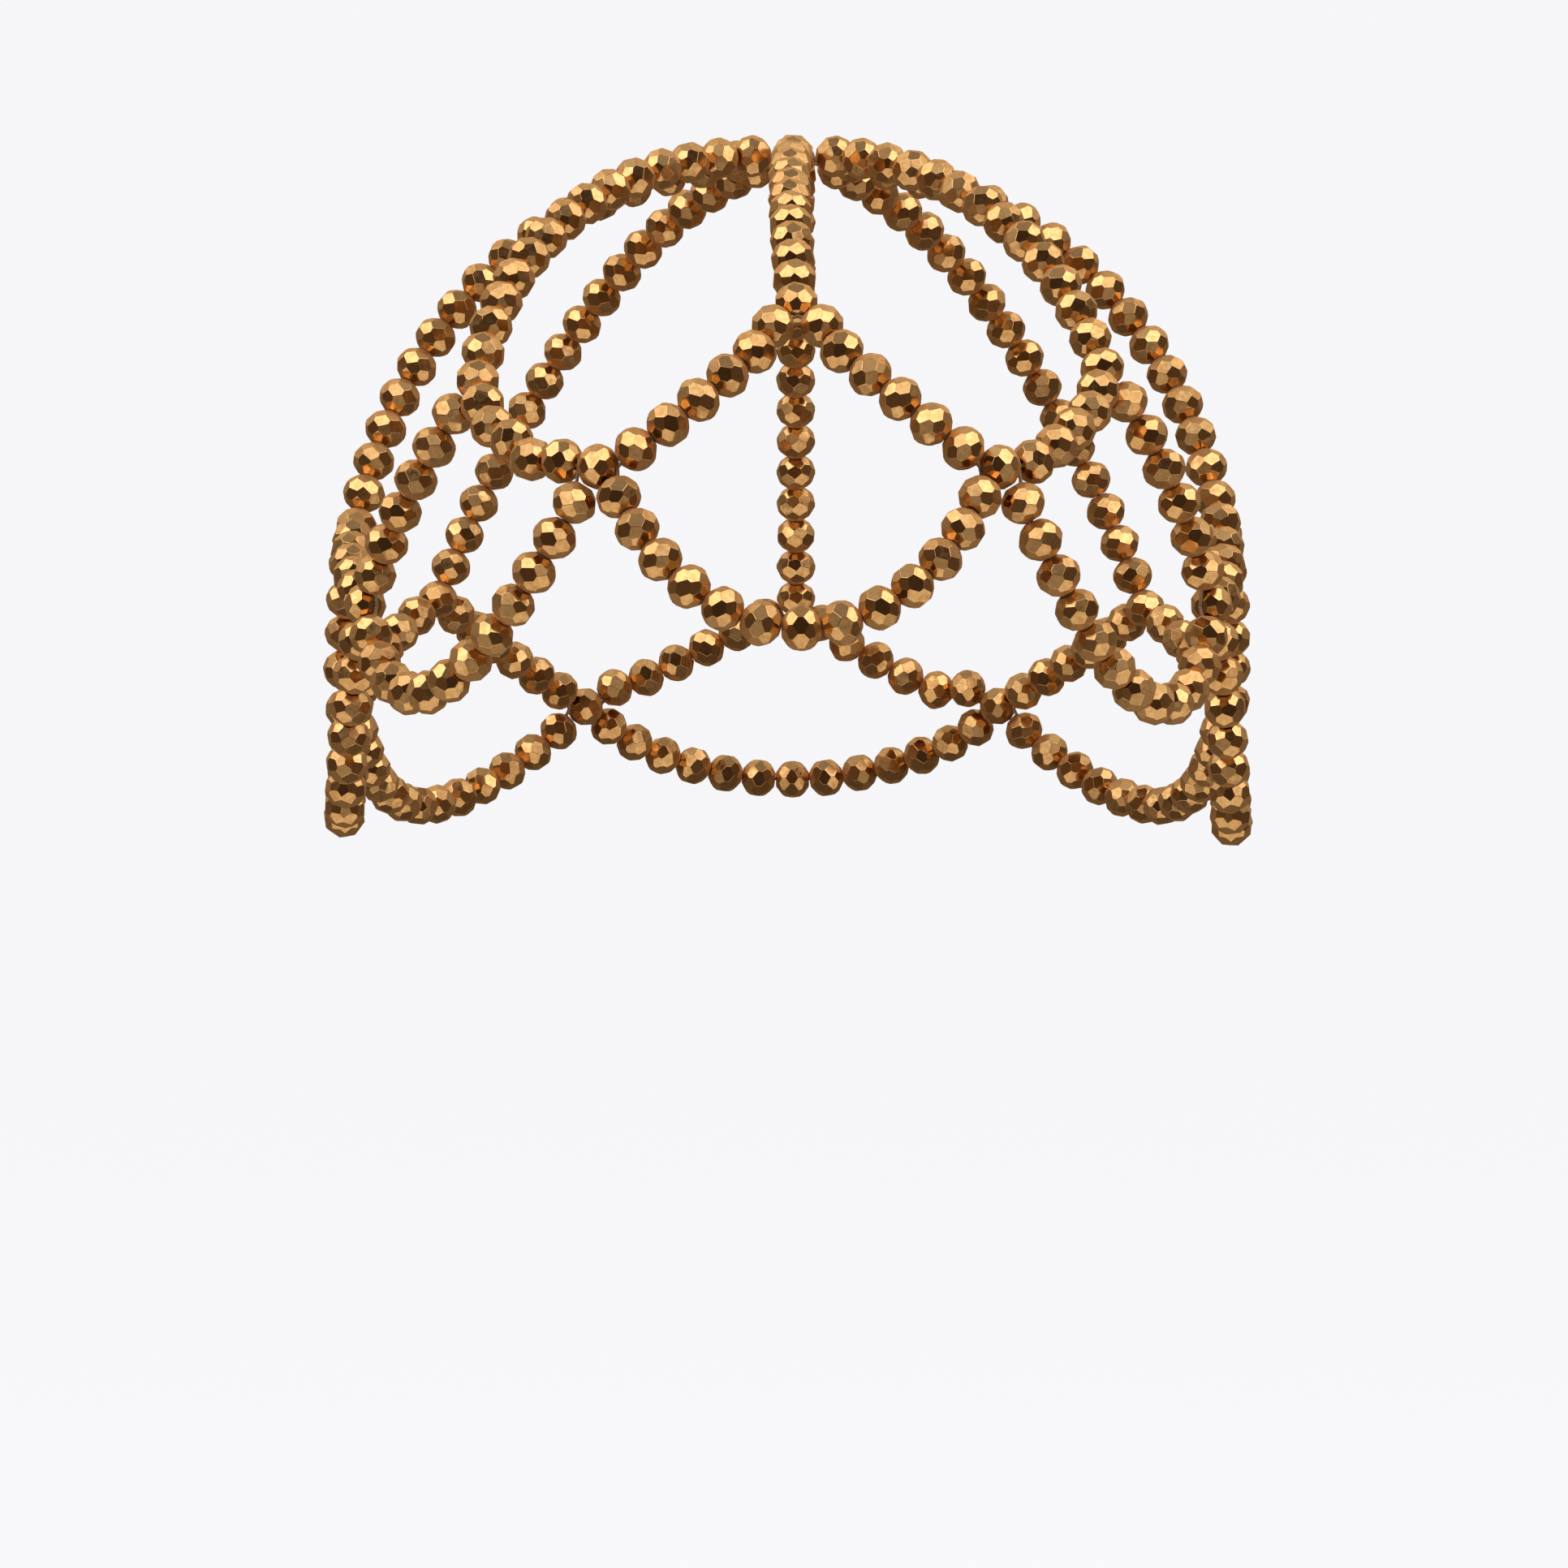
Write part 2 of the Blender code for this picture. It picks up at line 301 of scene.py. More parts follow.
def radial_beads(name, net):
    """Bead centres from the crown to the fork, and the fork's polar angle."""
    start, end, count = RADIALS[name]
    length = net.crown_ring + (count - 1) * net.pitch

    def line(polar):
        return form_points(start + (end - start) * TRACE**TURN_POWER, polar * TRACE, net)

    polar = solve(lambda p: lengths_along(line(p))[-1] - length, *POLAR_RANGE)
    return spaced(line(polar), net.crown_ring + net.pitch * np.arange(count)), polar


def hung_beads(start, end, count, power, net):
    """Bead centres of a string of this many beads that sags on the form between two beads.

    The polar angle goes evenly from one end to the other, plus a sag times one less the power of
    the distance from the middle; the sag is the one that gives the string its length.
    """
    length = (count - 1) * net.pitch + 2 * net.fork_pitch
    bow = 1 - np.abs(2 * TRACE - 1) ** power
    turn = (end[0] - start[0] + 180) % 360 - 180

    def line(sag):
        slope = start[1] + (end[1] - start[1]) * TRACE
        return form_points(start[0] + turn * TRACE, slope + sag * bow, net)

    traced = line(solve(lambda s: lengths_along(line(s))[-1] - length, *SAG_RANGE))
    places = net.fork_pitch + net.pitch * np.arange(count)
    return spaced(traced, places * lengths_along(traced)[-1] / length)


def laid_out(net):
    """Every bead's centre, rows (string, first bead, last bead, bead before, bead after), and the
    beads that stay put."""
    centres, strings = [form_points(0, 0, net)], []

    def add(name, beads, before, after):
        first = sum(len(group) for group in centres)
        strings.append((name, first, first + len(beads) - 1, before, after))
        centres.append(beads)
        return first + len(beads) - 1

    forks, crossings = {}, {}
    for name, (_, end, _) in RADIALS.items():
        beads, polar = radial_beads(name, net)
        forks[name] = (add(f"radial_{name}", beads, 0, None), (end, polar))
    for name, place in CROSSINGS.items():
        crossings[name] = (add(f"crossing_{name}", form_points(*place, net), None, None), place)
    for radial, crossing, count in BRANCHES:
        (fork, fork_place), (cross, cross_place) = forks[radial], crossings[crossing]
        beads = hung_beads(fork_place, cross_place, count, net.branch_power, net)
        add(f"branch_{radial}_to_{crossing}", beads, fork, cross)
    for name, (one, other, count) in SWAGS.items():
        beads = hung_beads(crossings[one][1], crossings[other][1], count, net.swag_power, net)
        add(f"swag_{name}", beads, crossings[one][0], crossings[other][0])
    fixed = [0] + [last for last, _ in forks.values()] + [last for last, _ in crossings.values()]
    return np.vstack(centres), strings, np.array(fixed)


def links_of(strings, net):
    """Rows (bead, bead, distance) for each two neighbours on a string."""
    links = []
    for _, first, last, before, after in strings:
        links += [(i, i + 1, net.pitch) for i in range(first, last)]
        if before is not None:
            links.append((before, first, net.crown_ring if before == 0 else net.fork_pitch))
        if after is not None:
            links.append((last, after, net.fork_pitch))
    return links


def settled(centres, strings, fixed, net):
    """Bead centres moved so that neighbours keep their pitch, others stay apart and none sinks in."""
    links = links_of(strings, net)
    one, other = np.array([link[:2] for link in links]).T
    rest = np.array([link[2] for link in links])
    held, hub = centres[fixed].copy(), hub_of(net)
    joined = np.eye(len(centres), dtype=bool)
    joined[one, other] = joined[other, one] = True
    hanging = np.zeros(len(centres), dtype=bool)
    for name, first, last, *_ in strings:
        hanging[first : last + 1] = name.startswith("swag")
    for _ in range(net.rounds):
        centres[hanging, 2] -= net.fall
        apart = centres[other] - centres[one]
        now = np.linalg.norm(apart, axis=1)
        shift = apart * (PULL * (now - rest) / now)[:, None]
        np.add.at(centres, one, shift)
        np.add.at(centres, other, -shift)
        apart = centres[None, :, :] - centres[:, None, :]
        now = np.linalg.norm(apart, axis=2)
        near = (now < net.clearance) & ~joined
        push = np.where(near, PUSH * (now - net.clearance) / np.maximum(now, TINY), 0.0)
        centres += (apart * push[:, :, None]).sum(axis=1)
        rays = centres - hub
        reach = np.linalg.norm(rays, axis=1)
        surface = on_form(rays / reach[:, None], net)
        sunk = (np.linalg.norm(surface - hub, axis=1) > reach)[:, None]
        centres = np.where(sunk, surface, centres)
        centres[fixed] = held
    return centres


@lru_cache(maxsize=1)
def net_layout():
    """Bead centres, with the crown bead resting on the origin, and the rows of strings."""
    net = bpy.context.scene.headpiece_net
    centres, strings, fixed = laid_out(net)
    centres = settled(centres, strings, fixed, net)
    return centres + (np.array([0.0, 0.0, CROWN_HEIGHT]) - centres[0]), strings


def string_lines():
    """Name, line of bead centres with a bead or point before and after, for each string."""
    centres, strings = net_layout()
    pitch = bpy.context.scene.headpiece_net.pitch
    up = np.array([0.0, 0.0, pitch])
    lines = {"crown_bead": np.vstack([centres[0] - up, centres[0], centres[0] + up])}
    for name, first, last, before, after in strings:
        beads = centres[first : last + 1]
        if name.startswith("crossing"):
            along = pitch * unit(np.cross(up, beads[0] - centres[0]))
            ends = beads[0] - along, beads[0] + along
        elif after is None:
            ends = centres[0], 2 * beads[-1] - beads[-2]
        else:
            ends = centres[before], centres[after]
        lines[name] = np.vstack([ends[0], beads, ends[1]])
    return lines


def thread_lines(reach):
    """The thread's way along each string: out of the hole of the bead where it starts, through its
    beads, and into the hole of the bead where it ends.

    A hole's mouth lies at the bead's centre plus or minus reach times its thread axis, on the side
    of the next bead.
    """
    centres, strings = net_layout()
    lines, axes = string_lines(), {}
    for name, _, last, _, _ in strings:
        axes[last] = unit(lines[name][-1] - lines[name][-2])

    def mouth(bead, neighbour):
        side = np.sign(axes[bead] @ (neighbour - centres[bead]))
        return centres[bead] + side * reach * axes[bead]

    ways = []
    for name, _, _, before, after in strings:
        line = lines[name]
        if name.startswith("radial"):
            ways.append(line[:-1])
        elif name.startswith(("branch", "swag")):
            leaving, entering = mouth(before, line[1]), mouth(after, line[-2])
            ways.append(np.vstack([line[0], leaving, line[1:-1], entering, line[-1]]))
    return ways


def unit(vectors):
    """The vectors, each made one long."""
    return vectors / np.linalg.norm(vectors, axis=-1, keepdims=True)


def bead_corners(bead, count, rng):
    """Corners of this many hand-cut beads, about their middles with the thread along Z.

    A bead is cut by rows of planes round the thread: girdle facets at no tilt, shoulder facets
    half a step round, collar facets in line with the girdle's, and two flat ends. Every row but the
    girdle is turned off even by its own skew, and every plane is a little off its tilt and depth.
    Each corner is the point where three of the planes meet. Returns an array (bead, row, column, 3).
    """
    n = bead.facets
    step = 2 * np.pi / n
    rows = (
        (0.0, 0.0, bead.girdle), (0.5, bead.shoulder_tilt, bead.shoulder),
        (0.5, -bead.shoulder_tilt, bead.shoulder), (0.0, bead.collar_tilt, bead.collar),
        (0.0, -bead.collar_tilt, bead.collar),
    )
    turns = (np.arange(n)[None] + np.array([row[0] for row in rows])[:, None]) * step
    tilts = np.array([row[1] for row in rows])[:, None] + 0 * turns
    depths = np.array([row[2] for row in rows])[:, None] + 0 * turns
    shape = (count, *turns.shape)
    turns = turns + rng.normal(0, bead.cut_tilt, shape)
    turns[:, 1:] += rng.uniform(-bead.skew, bead.skew, (count, len(rows) - 1, 1))
    tilts = tilts + rng.normal(0, bead.cut_tilt, shape)
    depths = depths + rng.normal(0, bead.cut_depth, shape)
    normals = np.stack(
        [np.cos(tilts) * np.cos(turns), np.cos(tilts) * np.sin(turns), np.sin(tilts)], axis=-1
    )

    def meet(*planes):
        """The corners where three rows of planes meet; a plane is (normals, depths)."""
        across = np.stack([plane[0] for plane in planes], axis=-2)
        deep = np.stack([plane[1] for plane in planes], axis=-1)[..., None]
        return np.linalg.solve(across, deep)[..., 0]

    def row(index, roll=0):
        return np.roll(normals[:, index], roll, axis=1), np.roll(depths[:, index], roll, axis=1)

    def flat(sign):
        normal = np.zeros((count, n, 3))
        normal[..., 2] = sign
        return normal, np.full((count, n), bead.end)

    corners = []
    for sign, shoulder, collar in ((-1, 2, 4), (1, 1, 3)):
        half = [
            meet(row(0), row(0, -1), row(shoulder)),
            meet(row(0), row(shoulder, 1), row(shoulder)),
            meet(row(collar), row(shoulder, 1), row(shoulder)),
            meet(row(shoulder), row(collar), row(collar, -1)),
            meet(flat(sign), row(collar), row(collar, -1)),
        ]
        angles = (np.arange(n) + 0.5) * step
        mouth = bead.hole, bead.end
        bottom = HOLE_TAPER * bead.hole, bead.end - bead.hole_depth
        for radius, height in (mouth, bottom):
            ring = np.column_stack([np.cos(angles), np.sin(angles), 0 * angles]) * radius
            ring[:, 2] = sign * height
            half.append(np.broadcast_to(ring, (count, n, 3)))
        corners += half if sign > 0 else half[::-1]
    return np.stack(corners, axis=1)


def bead_faces(n):
    """Faces of one bead, over corners numbered row by row from one end of the thread to the other.

    Rows 0 to 6 run from the lower hole's floor to the girdle, rows 7 to 13 from the girdle to the
    upper hole's floor. Rows 5 and 8, and 4 and 9, lie between the columns of the others.
    """
    i = np.arange(n)
    nxt, prv = (i + 1) % n, (i - 1) % n

    def at(row, column):
        return row * n + column

    girdle = [at(6, prv), at(5, i), at(6, i), at(7, i), at(8, i), at(7, prv)]
    upper = [at(7, i), at(8, nxt), at(9, nxt), at(10, i), at(9, i), at(8, i)]
    lower = [at(6, i), at(5, i), at(4, i), at(3, i), at(4, nxt), at(5, nxt)]
    upper_collar = [at(9, i), at(10, i), at(11, i), at(11, prv), at(10, prv)]
    lower_collar = [at(4, i), at(3, prv), at(2, prv), at(2, i), at(3, i)]
    upper_end = [at(11, i), at(12, i), at(12, prv), at(11, prv)]
    lower_end = [at(2, prv), at(1, prv), at(1, i), at(2, i)]
    upper_hole = [at(12, i), at(13, i), at(13, prv), at(12, prv)]
    lower_hole = [at(1, prv), at(0, prv), at(0, i), at(1, i)]
    faces = []
    for group in (girdle, upper, lower, upper_collar, lower_collar, upper_end, lower_end,
                  upper_hole, lower_hole):
        faces += np.column_stack(group).tolist()
    return faces + [at(13, i).tolist(), at(0, i)[::-1].tolist()]


def bead_frames(line, bead, rng):
    """A turn for each bead of a line: its thread axis with a little wobble, and a random spin."""
    axis = unit(line[2:] - line[:-2])
    axis = unit(axis + rng.normal(0, np.tan(bead.wobble) / WOBBLE_SPREAD, axis.shape))
    lead = unit(np.cross(axis, rng.normal(0, 1, axis.shape)))
    return np.stack([lead, np.cross(axis, lead), axis], axis=-1)


def mesh_object(name, points, faces, material):
    """A smooth-shaded mesh of one material, as an object at the origin."""
    mesh = bpy.data.meshes.new(name)
    mesh.from_pydata(points, [], faces)
    mesh.shade_smooth()
    mesh.materials.append(material)
    thing = bpy.data.objects.new(name, mesh)
    bpy.context.collection.objects.link(thing)
    return thing


def bead_string(name, line, bead, rng, material):
    """Faceted beads at the inner points of a line: each bead's corners, turned onto its thread and
    moved to its centre, joined in one mesh."""
    count = len(line) - 2
    corners = bead_corners(bead, count, rng)
    turns = bead_frames(line, bead, rng)
    placed = np.einsum("bij,brcj->brci", turns, corners) + line[1:-1, None, None, :]
    per_bead = corners.shape[1] * corners.shape[2]
    template = bead_faces(bead.facets)
    faces = [[i + b * per_bead for i in face] for b in range(count) for face in template]
    piece = mesh_object(name, placed.reshape(-1, 3), faces, material)
    tone = piece.data.attributes.new("bead_tone", "FLOAT", "POINT")
    tone.data.foreach_set("value", np.repeat(rng.uniform(0, 1, count), per_bead))
    polish = piece.modifiers.new("Fire-polished edges", "BEVEL")
    polish.width = bead.edge
    polish.segments = 1
    polish.limit_method = "ANGLE"
    polish.angle_limit = bead.edge_limit
    polish.harden_normals = True
    return piece


def thread_tubes(lines, radius, sides):
    """A tube along each line: a ring of points square to the line, carried from point to point.

    Each ring is the point plus radius times (cosine of the angle times a lead vector plus sine of
    the angle times their cross), with flat caps at both ends.
    """
    points, faces, base = [], [], 0
    angles = 2 * np.pi * np.arange(sides) / sides
    for line in lines:
        axis = unit(np.gradient(line, axis=0))
        lead = unit(np.cross(axis, OFF_AXIS))
        side = np.cross(axis, lead)
        rings = line[:, None] + radius * (
            np.cos(angles)[None, :, None] * lead[:, None]
            + np.sin(angles)[None, :, None] * side[:, None]
        )
        points.append(rings.reshape(-1, 3))
        grid = base + np.arange(len(line) * sides).reshape(len(line), sides)
        ahead = np.roll(grid, -1, axis=1)
        walls = np.stack([grid[:-1], ahead[:-1], ahead[1:], grid[1:]], axis=-1)
        faces += walls.reshape(-1, 4).tolist()
        faces += [grid[0][::-1].tolist(), grid[-1].tolist()]
        base += grid.size
    return np.vstack(points), faces


def join(tree, socket, value):
    """Sets an input socket to a value, or links it to the output that is given."""
    if isinstance(value, bpy.types.NodeSocket):
        tree.links.new(value, socket)
    else:
        socket.default_value = value


def feed(tree, node, **inputs):
    """Sets or links a node's inputs by name, with underscores for spaces."""
    for name, value in inputs.items():
        join(tree, node.inputs[name.replace("_", " ")], value)
    return node


def new_node(tree, kind, place, **inputs):
    """A node at this place in the tree's editor, with these inputs fed by name."""
    node = tree.nodes.new(kind)
    node.location = place
    return feed(tree, node, **inputs)


def worked_out(tree, operation, place, *values):
    """The result of a Math node on numbers or outputs."""
    node = new_node(tree, "ShaderNodeMath", place)
    node.operation = operation
    for socket, value in zip(node.inputs, values):
        join(tree, socket, value)
    return node.outputs[0]


def mixed_colour(tree, place, factor, one, other, blend="MIX"):
    """The colour that a Mix node gives from two."""
    node = new_node(tree, "ShaderNodeMix", place)
    node.data_type, node.blend_type = "RGBA", blend
    return feed(tree, node, Factor=factor, A=one, B=other).outputs["Result"]


def new_material(name, **inputs):
    """A material, its node tree and its shader, with these of the shader's inputs set by name."""
    material = bpy.data.materials.new(name)
    material.use_nodes = True
    tree = material.node_tree
    return material, tree, feed(tree, tree.nodes["Principled BSDF"], **inputs)


def mottle_group():
    """The coating's mottle: clouds thicken it and haze it, and fine specks pit it."""
    name = "Coating mottle"
    if name in bpy.data.node_groups:
        return bpy.data.node_groups[name]
    group = bpy.data.node_groups.new(name, "ShaderNodeTree")
    for way, label, kind in (
        ("INPUT", "Vector", "Vector"), ("INPUT", "Thin", "Color"), ("INPUT", "Thick", "Color"),
        ("INPUT", "Size", "Float"), ("INPUT", "Polish", "Float"), ("INPUT", "Haze", "Float"),
        ("INPUT", "Tone", "Float"), ("OUTPUT", "Colour", "Color"),
        ("OUTPUT", "Roughness", "Float"), ("OUTPUT", "Height", "Float"),
    ):
        group.interface.new_socket(label, in_out=way, socket_type=f"NodeSocket{kind}")
    given = new_node(group, "NodeGroupInput", (-1100, 0)).outputs
    out = new_node(group, "NodeGroupOutput", (700, 0))

    # a bead's tone also shifts the pattern on it
    shifted = new_node(group, "ShaderNodeVectorMath", (-900, 0))
    shifted.operation = "ADD"
    join(group, shifted.inputs[0], given["Vector"])
    join(group, shifted.inputs[1], given["Tone"])
    place = shifted.outputs[0]
    coarse = worked_out(group, "DIVIDE", (-900, 200), 1.0, given["Size"])
    fine = worked_out(group, "MULTIPLY", (-900, -250), coarse, 3.6)
    clouds = new_node(
        group, "ShaderNodeTexNoise", (-650, 200),
        Vector=place, Scale=coarse, Detail=4.0, Roughness=0.62,
    ).outputs["Fac"]
    specks = new_node(
        group, "ShaderNodeTexNoise", (-650, -200),
        Vector=place, Scale=fine, Detail=2.0, Roughness=0.7,
    ).outputs["Fac"]
    patch = new_node(
        group, "ShaderNodeMapRange", (-400, 250), Value=clouds, From_Min=0.36, From_Max=0.68
    ).outputs["Result"]
    pits = new_node(
        group, "ShaderNodeMapRange", (-400, -150), Value=specks, From_Min=0.60, From_Max=0.74
    ).outputs["Result"]

    tone = worked_out(group, "MULTIPLY_ADD", (-150, 400), given["Tone"], 0.30, patch)
    colour = mixed_colour(group, (100, 350), tone, given["Thin"], given["Thick"])
    darken = worked_out(group, "MULTIPLY", (100, 100), pits, 0.60)
    pit_colour = (0.35, 0.26, 0.18, 1.0)
    feed(
        group, out,
        Colour=mixed_colour(group, (350, 300), darken, colour, pit_colour, "MULTIPLY"),
        Roughness=worked_out(
            group, "MULTIPLY_ADD", (350, 0), patch, given["Haze"], given["Polish"]
        ),
        Height=worked_out(group, "MULTIPLY_ADD", (350, -250), pits, -0.6, clouds),
    )
    return group


def coated_glass(name):
    """Gold-coated glass: a metal whose colour, polish and fine relief come from the mottle, hazier
    where a facet is seen edge-on."""
    finish = bpy.context.scene.headpiece_finish
    material, tree, shader = new_material(
        name, Metallic=1.0, Specular_Tint=(0.88, 0.66, 0.46, 1.0), Sheen_Weight=0.10,
        Sheen_Roughness=0.35, Sheen_Tint=(0.90, 0.70, 0.50, 1.0),
    )
    place = new_node(tree, "ShaderNodeTexCoord", (-900, 0))
    tone = new_node(tree, "ShaderNodeAttribute", (-900, -300))
    tone.attribute_name = "bead_tone"
    mottle = new_node(tree, "ShaderNodeGroup", (-600, 0))
    mottle.node_tree = mottle_group()
    feed(
        tree, mottle, Vector=place.outputs["Object"], Tone=tone.outputs["Fac"],
        Thin=(*finish.gold, 1.0), Thick=(*finish.bronze, 1.0), Size=finish.mottle,
        Polish=finish.polish, Haze=finish.haze,
    )
    slant = new_node(tree, "ShaderNodeLayerWeight", (-600, 350), Blend=0.5)
    rim = new_node(
        tree, "ShaderNodeMapRange", (-400, 350),
        Value=slant.outputs["Facing"], From_Min=0.26, From_Max=0.55, To_Max=finish.rim_haze,
    )
    rim.interpolation_type = "SMOOTHSTEP"
    gloss = worked_out(
        tree, "ADD", (-200, 250), rim.outputs["Result"], mottle.outputs["Roughness"]
    )
    relief = new_node(
        tree, "ShaderNodeBump", (-300, -250),
        Strength=0.02, Distance=0.0002, Height=mottle.outputs["Height"],
    )
    feed(tree, shader, Base_Color=mottle.outputs["Colour"], Roughness=gloss,
         Normal=relief.outputs["Normal"])
    return material


def thread_material():
    """Twisted brown thread: fine bands along it raise its strands and paint shade on them with a
    darker copy of its colour.
    """
    finish = bpy.context.scene.headpiece_finish
    material, tree, shader = new_material("Thread", Roughness=0.6)
    place = new_node(tree, "ShaderNodeTexCoord", (-900, 0))
    wave = new_node(
        tree, "ShaderNodeTexWave", (-650, 0),
        Vector=place.outputs["Object"], Scale=900.0, Distortion=2.0,
    )
    wave.bands_direction = "DIAGONAL"
    strands = wave.outputs["Fac"]
    # painted shade: where the bands are high, the thread's colour gives way to a shaded copy at 0.55
    # of it
    lit, shaded = (*finish.thread, 1.0), (*(0.55 * np.array(finish.thread)), 1.0)
    relief = new_node(
        tree, "ShaderNodeBump", (-350, -250), Strength=0.3, Distance=0.0001, Height=strands
    )
    feed(tree, shader, Base_Color=mixed_colour(tree, (-350, 100), strands, lit, shaded),
         Normal=relief.outputs["Normal"])
    return material


def dress_nodes(prefix, label):
    """Makes the faceted beads of every string whose node's name starts so, in its place."""
    bead = bpy.context.scene.headpiece_bead
    material = coated_glass(f"{label} coating")
    for index, (name, line) in enumerate(string_lines().items()):
        if not name.startswith(prefix):
            continue
        rng = np.random.default_rng([bead.seed, index])
        piece = bead_string(f"beads_{name}", line, bead, rng, material)
        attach(piece, "root")
        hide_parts(name)
    return {"FINISHED"}


class HEADPIECE_OT_crown(bpy.types.Operator):
    """Make the crown bead, on which the eight radial strings meet"""

    bl_idname = "headpiece.crown"
    bl_label = "Crown Bead"

    def execute(self, context):
        return dress_nodes("crown", "Top bead")


class HEADPIECE_OT_radials(bpy.types.Operator):
    """Make the eight radial strings, each with the fork bead at its end"""

    bl_idname = "headpiece.radials"
    bl_label = "Radial Strings"

    def execute(self, context):
        return dress_nodes("radial", "Radial bead")


class HEADPIECE_OT_branches(bpy.types.Operator):
    """Make the branches that part from the fork beads"""

    bl_idname = "headpiece.branches"
    bl_label = "Branches"

    def execute(self, context):
        return dress_nodes("branch", "Branch bead")


class HEADPIECE_OT_crossings(bpy.types.Operator):
    """Make the beads that the branches share"""

    bl_idname = "headpiece.crossings"
    bl_label = "Crossing Beads"

    def execute(self, context):
        return dress_nodes("crossing", "Crossing bead")


class HEADPIECE_OT_swags(bpy.types.Operator):
    """Make the swags that hang between the crossing beads"""

    bl_idname = "headpiece.swags"
    bl_label = "Swags"

    def execute(self, context):
        return dress_nodes("swag", "Swag bead")


class HEADPIECE_OT_thread(bpy.types.Operator):
    """Run the thread through every bead"""

    bl_idname = "headpiece.thread"
    bl_label = "Thread"

    def execute(self, context):
        bead = context.scene.headpiece_bead
        lines = thread_lines(MOUTH_REACH * bead.end)
        points, faces = thread_tubes(lines, bead.thread, THREAD_SIDES)
        piece = mesh_object("thread", points, faces, thread_material())
        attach(piece, "root")
        return {"FINISHED"}


def turned_surface(radii, heights, columns=96):
    """A profile of radius and height, turned about Z, with a flat middle inside its first ring."""
    angle = 2 * np.pi * np.arange(columns) / columns
    points = np.stack(
        [radii[:, None] * np.cos(angle), radii[:, None] * np.sin(angle),
         heights[:, None] + 0 * angle], axis=-1
    )
    grid = np.arange(points.shape[0] * columns).reshape(-1, columns)
    ahead = np.roll(grid, -1, axis=1)
    walls = np.stack([grid[:-1], grid[1:], ahead[1:], ahead[:-1]], axis=-1)
    return points.reshape(-1, 3), walls.reshape(-1, 4).tolist() + [grid[0].tolist()]


def cove_surface(floor, radius, wall):
    """A round floor that goes flat to a radius and then curves up a quarter circle into a low wall."""
    bend = np.linspace(0, np.pi / 2, 13)
    flat = np.linspace(0.02, radius, 9)[:-1]
    radii = np.concatenate([flat, radius + wall * np.sin(bend)])
    return turned_surface(radii, floor + np.concatenate([0 * flat, wall * (1 - np.cos(bend))]))


def dome_surface(base, radius, height):
    """A dome over the wall: the radius falls by the sine and the height by the cosine of the angle
    from its top."""
    angle = np.linspace(0.01, np.pi / 2, 13)
    return turned_surface(radius * np.sin(angle), base + height * np.cos(angle))


def studio_object(name, points, faces, material, *hidden_from):
    """An object that isn't part of the headpiece, hidden from some kinds of rays."""
    thing = mesh_object(name, points, faces, material)
    for ray in hidden_from:
        setattr(thing, f"visible_{ray}", False)


def plain_material(name, colour, light, glow):
    """A matt surface of one colour that also sends out light of its own."""
    return new_material(
        name, Base_Color=(*colour, 1.0), Roughness=0.9, Specular_IOR_Level=0.0,
        Emission_Color=(*light, 1.0), Emission_Strength=glow,
    )[0]


def soft_light(name, place, size, power):
    """A rectangular area light that faces the net."""
    data = bpy.data.lights.new(name, "AREA")
    data.shape = "RECTANGLE"
    data.size, data.size_y = size
    data.energy = power
    light = bpy.data.objects.new(name, data)
    light.location = place
    light.rotation_euler = (LIGHT_AIM - Vector(place)).to_track_quat("-Z", "Y").to_euler()
    bpy.context.collection.objects.link(light)


FLOOR_RADIUS, CURVE_RADIUS, DOME_HEIGHT = 2.2, 1.6, 3.0
LIGHT_AIM = Vector((0.0, -0.02, -0.05))
BLACK = (0.0, 0.0, 0.0)

# name, setting, first two corners, last two corners: cards that only reflections show
CARDS = (
    ("card_front", "card", ((-1.20, -1.50, -0.33), (1.20, -1.50, -0.33)),
     ((1.20, -1.50, 1.45), (-1.20, -1.50, 1.45))),
    ("card_left", "wings", ((-0.55, 0.40, -0.33), (-0.55, -1.40, -0.33)),
     ((-1.70, -1.60, 0.95), (-1.70, 0.40, 0.95))),
    ("card_right", "wings", ((0.55, -1.40, -0.33), (0.55, 0.40, -0.33)),
     ((1.70, 0.40, 0.95), (1.70, -1.60, 0.95))),
    ("card_low", "apron", ((-0.55, -1.45, -0.33), (0.55, -1.45, -0.33)),
     ((0.55, -0.42, -0.33), (-0.55, -0.42, -0.33))),
    ("card_below", "bounce", ((-0.55, -0.42, -0.33), (0.55, -0.42, -0.33)),
     ((0.55, -0.10, -0.33), (-0.55, -0.10, -0.33))),
    ("card_under", "backing", ((-0.55, -0.10, -0.33), (0.55, -0.10, -0.33)),
     ((0.55, 0.45, -0.33), (-0.55, 0.45, -0.33))),
    ("card_back", "backing", ((-1.70, 0.45, -0.33), (1.70, 0.45, -0.33)),
     ((1.70, 1.60, 0.80), (-1.70, 1.60, 0.80))),
)

# name, place, width and height, share of the key power; a lamp brightens a softbox's middle
SOFTBOXES = (
    ("softbox_left", (-0.95, -0.50, 1.00), (1.75, 1.50), 3.0),
    ("lamp_left", (-0.92, -0.48, 1.02), (1.10, 1.10), 1.0),
    ("softbox_right", (0.95, -0.50, 1.00), (1.75, 1.50), 3.0),
    ("lamp_right", (0.92, -0.48, 1.02), (1.10, 1.10), 1.0),
    ("softbox_back", (0.0, 1.50, 1.20), (1.60, 0.60), 1.0),
    ("softbox_back_left", (-1.00, 0.75, 1.00), (0.95, 0.95), 0.9),
    ("softbox_back_right", (1.00, 0.75, 1.00), (0.95, 0.95), 0.9),
)


